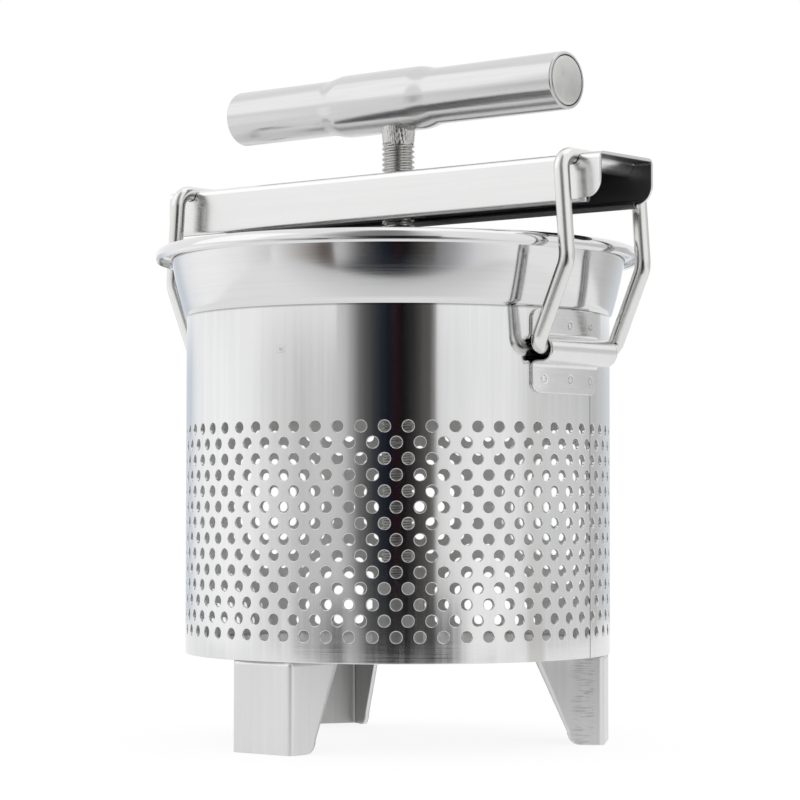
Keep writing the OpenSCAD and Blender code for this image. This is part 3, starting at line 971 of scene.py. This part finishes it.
def seen_white(tree):
    """1 for rays from the camera, or mirrored or bent on their way to it."""
    path = tree.nodes.new("ShaderNodeLightPath")
    total = path.outputs["Is Camera Ray"]
    for name in ("Is Glossy Ray", "Is Transmission Ray"):
        either = tree.nodes.new("ShaderNodeMath")
        either.operation = "MAXIMUM"
        tree.links.new(total, either.inputs[0])
        tree.links.new(path.outputs[name], either.inputs[1])
        total = either.outputs[0]
    return total


def floor_material():
    """Pale floor, seen white with a soft shadow; in the steel it falls off in front."""
    fall_from, fall_to = 0.33, 0.62            # metres in front of the basket's axis
    f = Finish("pale_floor")
    mirrored = f.span(f.place("DOT_PRODUCT", out_at(camera_turn)), fall_from, fall_to, 0.97, 0.6)
    straight = f.times(f.node("ShaderNodeLightPath").outputs["Is Camera Ray"], 1.06)
    glow = f.node("ShaderNodeEmission", {"Strength": f.math("MAXIMUM", mirrored, straight)})
    pale = f.node("ShaderNodeBsdfDiffuse", {"Color": (0.9, 0.9, 0.9, 1)})
    share = f.times(seen_white(f.tree), 0.82)
    mixed = f.node("ShaderNodeMixShader", {0: share, 1: pale.outputs[0], 2: glow.outputs[0]})
    return f.surface(mixed)


def card(name, tones, away, low_z, high_z, soft_low, soft_high):
    """Curved studio card seen only in reflections, fading out at its foot and its top.

    A tone is (degrees from the camera's side, colour); the card spans from the first to the last.
    """
    first = math.radians(tones[0][0])
    last = math.radians(tones[-1][0])
    f = Finish(name)
    side = f.place("DOT_PRODUCT", across_at(camera_turn))
    ahead = f.place("DOT_PRODUCT", out_at(camera_turn))
    turn = f.math("ARCTAN2", side, ahead)
    ramp = f.node("ShaderNodeValToRGB")
    f.feed(ramp.inputs[0], f.node("ShaderNodeMapRange", {0: turn, 1: first, 2: last}).outputs[0])
    stops = ramp.color_ramp.elements
    for degrees, tone in tones[1:-1]:
        stops.new((math.radians(degrees) - first) / (last - first))
    for stop, (degrees, tone) in zip(stops, tones):
        stop.color = (*tone, 1)
    z = f.axis("Z")
    solid = f.times(f.span(z, low_z, low_z + soft_low),
                    f.span(z, high_z - soft_high, high_z, 1.0, 0.0))
    glow = f.node("ShaderNodeEmission", {"Color": ramp.outputs[0]})
    clear = f.node("ShaderNodeBsdfTransparent")
    f.surface(f.node("ShaderNodeMixShader", {0: solid, 1: clear.outputs[0], 2: glow.outputs[0]}))

    steps = 96
    verts = []
    for i in range(steps + 1):
        place = out_at(camera_turn + first + (last - first) * i / steps) * away
        verts += [place + Vector((0, 0, low_z)), place + Vector((0, 0, high_z))]
    faces = [(2 * i, 2 * i + 2, 2 * i + 3, 2 * i + 1) for i in range(steps)]
    made = stage_mesh(name, verts, faces, f.material)
    made.visible_camera = False
    made.visible_diffuse = False
    made.visible_shadow = False


def grey(*pairs):
    """Neutral tones at turns."""
    return [(turn, (tone, tone, tone)) for turn, tone in pairs]


# What stands round the set, told by the bands on the polished wall: grey walls at both sides,
# the dark room behind the camera with a blue, a red and a brown cast, and the table's edge.
room_tones = grey((-32, 0.66), (-27.5, 0.58), (-24, 0.38), (-20, 0.17), (-16, 0.085)) + [
    (-12, (0.038, 0.042, 0.048)),
    (-8, (0.014, 0.019, 0.028)),
    (-4, (0.006, 0.007, 0.014)),
    (-1, (0.020, 0.007, 0.009)),
    (3, (0.004, 0.004, 0.005)),
    (8, (0.030, 0.028, 0.028)),
    (13, (0.085, 0.080, 0.075)),
    (18, (0.14, 0.135, 0.125)),
    (19.5, (0.30, 0.29, 0.28)),
]
left_tones = [
    (-175, (0.66, 0.71, 0.77)),
    (-150, (0.66, 0.71, 0.77)),
    (-138, (0.95, 0.96, 0.98)),
] + grey(
    (-122, 1.08), (-104, 1.10), (-84, 1.0), (-67, 0.77), (-52, 0.63), (-38, 0.66), (-29, 0.66),
    (-28, 0.60))
right_tones = grey(
    (19, 0.25), (20, 0.80), (28, 0.90), (45, 0.96), (58, 0.95), (67, 0.86), (76, 0.75),
    (116, 0.72), (128, 0.59), (137, 0.62),
) + [
    (152, (0.69, 0.72, 0.75)),
    (175, (0.66, 0.71, 0.77)),
]
back_tones = grey((82, 0.70), (116, 0.65), (128, 0.56), (140, 0.66))
floor_tones = [
    (-66, (1.0, 1.0, 1.0)),
    (-50, (0.50, 0.48, 0.46)),
    (-38, (0.12, 0.095, 0.085)),
    (-29, (0.14, 0.125, 0.115)),
    (-22, (0.060, 0.062, 0.064)),
    (-8, (0.006, 0.010, 0.018)),
    (2, (0.004, 0.008, 0.016)),
    (14, (0.12, 0.12, 0.125)),
    (28, (0.42, 0.42, 0.43)),
    (40, (0.80, 0.80, 0.81)),
    (60, (1.0, 1.0, 1.0)),
]
edge_tones = grey(
    (-63, 0.95), (-58, 0.78), (-53, 0.50), (-42, 0.44), (-37, 0.13), (-30, 0.15), (-24, 0.46),
    (-20, 0.36), (-16, 0.11), (-8, 0.05), (4, 0.02), (10, 0.04), (20, 0.05), (27, 0.16),
    (32, 0.52), (38, 0.86))
upper_tones = grey(
    (-45, 1.0), (-32, 0.55), (-22, 0.30), (-6, 0.24), (4, 0.30), (12, 0.65), (24, 1.0))


def squared(value):
    """Square root that keeps the sign; it turns a circle into a rounded square."""
    return math.copysign(math.sqrt(abs(value)), value)


def studio():
    """White studio: table, reflection cards, two soft lamps and the photo's camera."""
    scene = bpy.context.scene
    scene.view_settings.view_transform = "Standard"
    world = bpy.data.worlds.new("white_studio")
    scene.world = world
    world.use_nodes = True
    tree = world.node_tree
    background = next(n for n in tree.nodes if n.type == "BACKGROUND")
    background.inputs["Color"].default_value = (1, 1, 1, 1)
    strength = tree.nodes.new("ShaderNodeMapRange")
    strength.inputs["To Min"].default_value = 0.85
    strength.inputs["To Max"].default_value = 1.0
    tree.links.new(seen_white(tree), strength.inputs[0])
    tree.links.new(strength.outputs[0], background.inputs["Strength"])

    floor_r = 0.9
    floor_back = 0.322                         # the table's near edge lies this much closer
    floor_drop = 0.1 * mm                      # keeps the floor clear of the feet
    around = 128
    out = out_at(camera_turn)
    across = across_at(camera_turn)
    middle = -out * floor_back - Vector((0, 0, floor_drop))
    ring = []
    for k in range(around):
        a = 2 * math.pi * k / around
        ring.append(middle + out * squared(math.cos(a)) * floor_r
                    + across * squared(math.sin(a)) * floor_r)
    stage_mesh("floor", ring, [tuple(range(around))], floor_material())

    # distance, foot and top, and how far the foot and the top fade
    card("left_wall", left_tones, 2.9, -0.85, 0.45, 0.12, 0.16)
    card("right_wall", right_tones, 2.9, -0.25, 0.45, 0.12, 0.16)
    card("back_wall", back_tones, 2.8, 0.20, 1.05, 0.10, 0.16)
    card("dark_room", room_tones, 2.6, -0.75, 0.75, 0.14, 0.25)
    card("dark_room_top", upper_tones, 2.75, 0.45, 16, 0.2, 8.0)
    card("dark_floor", floor_tones, 2.7, -1.5, -0.28, 0.05, 0.14)
    card("floor_edge", edge_tones, 2.5, -0.34, 0.0, 0.10, 0.05)

    target = Vector((0, 0, 0.15))
    for name, place, size, power in (
        ("key_softbox", (-1.6, -1.3, 1.6), 2.0, 3.5),
        ("top_softbox", (0.3, 0.5, 2.2), 1.6, 2),
    ):
        lamp = bpy.data.lights.new(name, "AREA")
        lamp.size = size
        lamp.energy = power
        holder = bpy.data.objects.new(name, lamp)
        holder.location = place
        aim = target - Vector(place)
        holder.rotation_euler = aim.to_track_quat("-Z", "Y").to_euler()
        scene.collection.objects.link(holder)

    lens = bpy.data.cameras.new("photo_camera")
    lens.sensor_width = 36
    lens.lens = focal_widths * lens.sensor_width
    lens.shift_x = centre_shift
    lens.clip_end = 50
    camera = bpy.data.objects.new("photo_camera", lens)
    scene.collection.objects.link(camera)
    ahead = (-out * math.cos(camera_pitch) + Vector((0, 0, math.sin(camera_pitch)))).normalized()
    right0 = ahead.cross(Vector((0, 0, 1))).normalized()
    up0 = right0.cross(ahead)
    right = right0 * math.cos(camera_roll) + up0 * math.sin(camera_roll)
    up = up0 * math.cos(camera_roll) - right0 * math.sin(camera_roll)
    place = out * camera_away + Vector((0, 0, camera_up))
    camera.matrix_world = Matrix((
        (right.x, up.x, -ahead.x, place.x),
        (right.y, up.y, -ahead.y, place.y),
        (right.z, up.z, -ahead.z, place.z),
        (0, 0, 0, 1),
    ))
    scene.camera = camera


studio()
